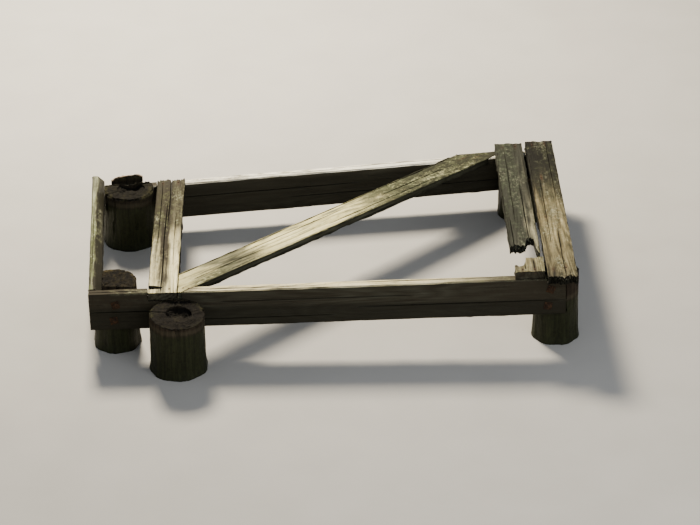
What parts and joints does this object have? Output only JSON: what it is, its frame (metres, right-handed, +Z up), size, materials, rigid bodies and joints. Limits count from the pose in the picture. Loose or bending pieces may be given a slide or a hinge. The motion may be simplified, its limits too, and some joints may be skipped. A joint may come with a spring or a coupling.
{
  "type": "derelict timber jetty",
  "caption": "Low, derelict timber jetty: bearers on log piles, end joists, a cross board and a diagonal brace let in flush, with broken deck boards left at one end.",
  "frame": {"origin": "middle of the plan, on the level bed that the piles stand on", "axes": "+X along the jetty towards the end that still has deck boards, +Y from the front bearer to the back bearer, +Z up"},
  "size_m": [2.5356, 1.8511, 0.4421],
  "materials": {
    "wet_timber": "wet weathered softwood, dark, algae stained",
    "mossy_timber": "weathered softwood with moss and lichen",
    "pale_board": "dry weathered board, bleached, splintered ends"
  },
  "bodies": {
    "root": {"front_bearer": "wet_timber", "rear_bearer": "wet_timber", "left_joist": "mossy_timber", "right_joist": "wet_timber", "cross_board": "pale_board", "brace": "mossy_timber", "inner_board": "mossy_timber", "inner_board_stub": "pale_board", "outer_board": "pale_board", "front_left_pile": "wet_timber", "front_right_pile": "wet_timber", "rear_left_pile": "wet_timber", "rear_right_pile": "wet_timber", "outer_stump": "wet_timber"}
  },
  "joints": []
}
